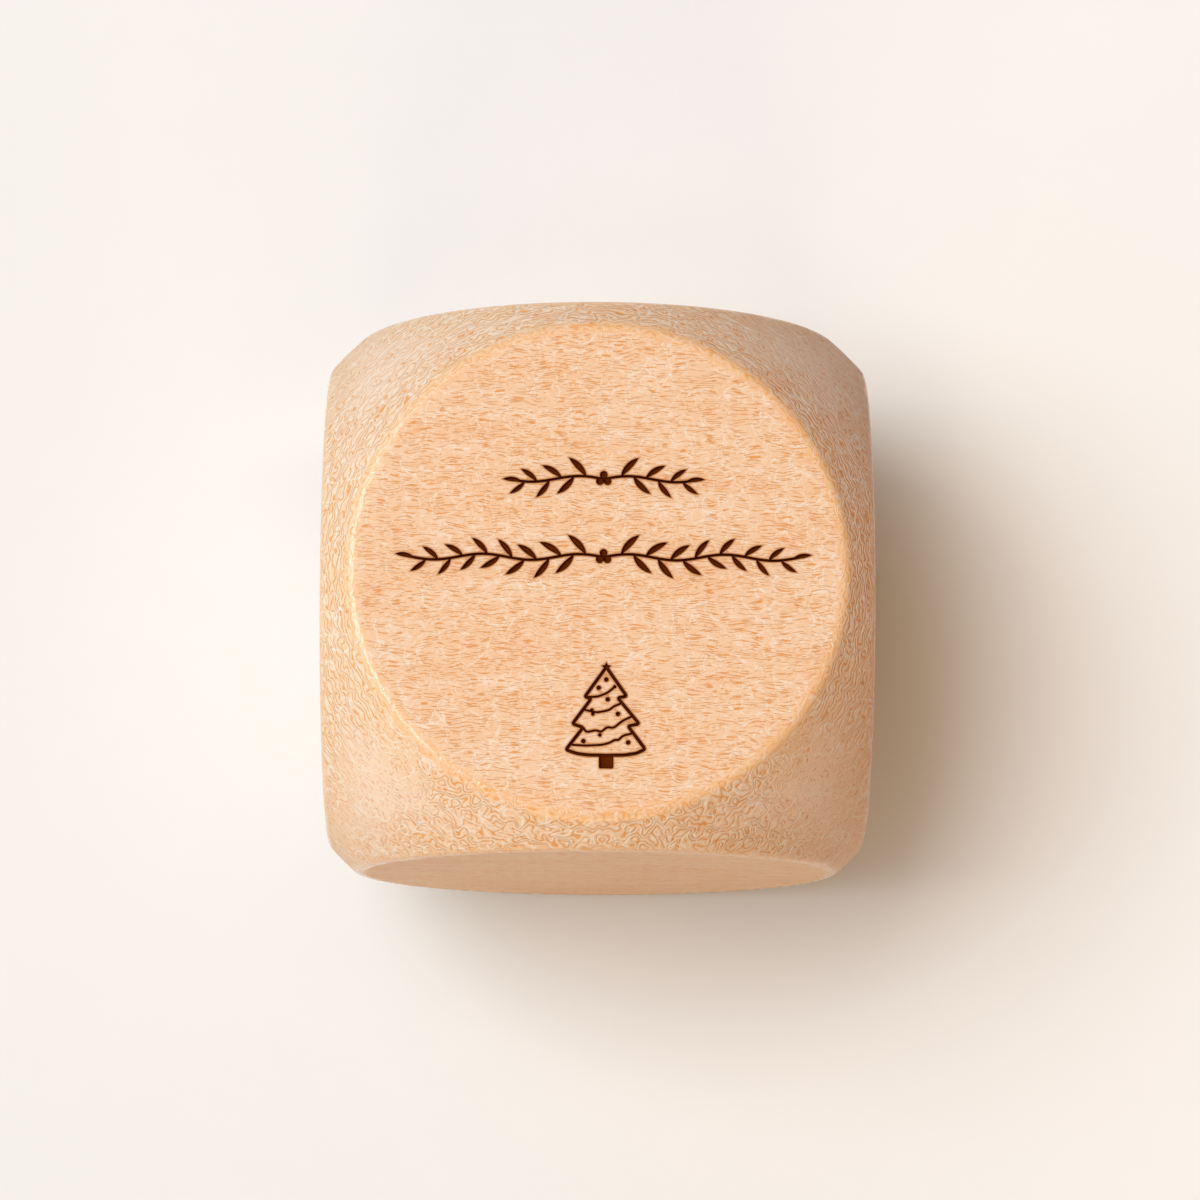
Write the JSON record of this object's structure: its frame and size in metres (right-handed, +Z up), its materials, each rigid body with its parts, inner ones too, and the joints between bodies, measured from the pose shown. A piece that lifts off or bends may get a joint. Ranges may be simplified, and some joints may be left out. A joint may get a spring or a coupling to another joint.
{
  "type": "wooden die",
  "caption": "Beech die: a cube turned down to a ball at its corners, so its faces are round flats. The upper face carries an engraved Christmas tree and leafy sprigs.",
  "frame": {"origin": "centre of the lower flat face, on the surface the die stands on", "axes": "+Z up through the engraved face, +X to the right as the engraving is read, +Y towards the top of the engraving"},
  "size_m": [0.03, 0.03, 0.03],
  "materials": {
    "beech": "sanded, untreated, with dark burnt engraving"
  },
  "bodies": {
    "root": {"die": "beech"}
  },
  "joints": []
}
